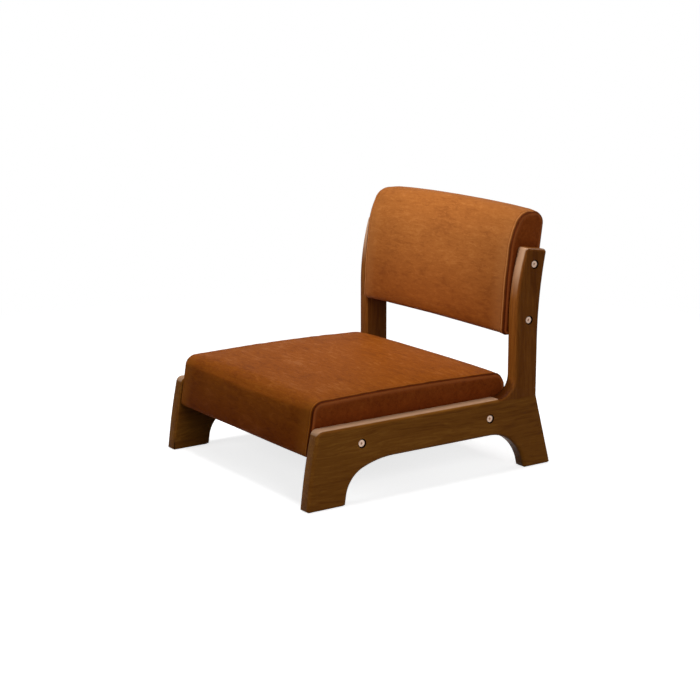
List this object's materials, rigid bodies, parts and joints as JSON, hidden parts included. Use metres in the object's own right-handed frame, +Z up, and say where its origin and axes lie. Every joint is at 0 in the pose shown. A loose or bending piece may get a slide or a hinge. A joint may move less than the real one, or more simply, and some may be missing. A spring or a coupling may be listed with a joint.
{
  "type": "floor chair",
  "caption": "Low floor chair: timber side frames with arched feet and raised uprights carry a padded leather-covered seat and a separate padded backrest.",
  "frame": {"origin": "on the floor, midway between the side frames and midway between the front and rear toes", "axes": "+Z up; the chair faces -Y; +X is the sitter's left"},
  "size_m": [0.48, 0.5214, 0.4608],
  "materials": {
    "walnut": "satin lacquer over walnut stain",
    "faux_leather": "waxed tan, mottled, soft sheen",
    "foam": "open-cell foam, hidden",
    "plywood": "plywood, unfinished, hidden",
    "softwood": "planed softwood, hidden",
    "beech": "fluted dowel, hidden",
    "bright_steel": "nickel plated",
    "zinc_steel": "zinc plated, hidden",
    "brass_insert": "turned, hidden",
    "felt": "dark brown pressed felt",
    "dust_cloth": "black non-woven cloth"
  },
  "bodies": {
    "root": {"seat_cover": "faux_leather", "seat_left_side_panel": "faux_leather", "seat_right_side_panel": "faux_leather", "seat_foam": "foam", "seat_board": "plywood", "seat_front_rail": "softwood", "seat_rear_rail": "softwood", "seat_left_rail": "softwood", "seat_right_rail": "softwood", "seat_dust_cover": "dust_cloth", "back_cover": "faux_leather", "back_left_side_panel": "faux_leather", "back_right_side_panel": "faux_leather", "back_foam": "foam", "back_left_stile": "softwood", "back_right_stile": "softwood", "back_top_rail": "softwood", "back_bottom_rail": "softwood", "back_front_panel": "plywood", "back_rear_panel": "plywood", "left_base_board": "walnut", "left_upright": "walnut", "left_dowels": "beech", "left_front_foot_pad": "felt", "left_rear_foot_pad": "felt", "left_seat_bolts": "bright_steel", "left_seat_washers": "zinc_steel", "left_seat_inserts": "brass_insert", "left_back_bolts": "bright_steel", "left_back_washers": "zinc_steel", "left_back_inserts": "brass_insert", "right_base_board": "walnut", "right_upright": "walnut", "right_dowels": "beech", "right_front_foot_pad": "felt", "right_rear_foot_pad": "felt", "right_seat_bolts": "bright_steel", "right_seat_washers": "zinc_steel", "right_seat_inserts": "brass_insert", "right_back_bolts": "bright_steel", "right_back_washers": "zinc_steel", "right_back_inserts": "brass_insert"}
  },
  "joints": []
}
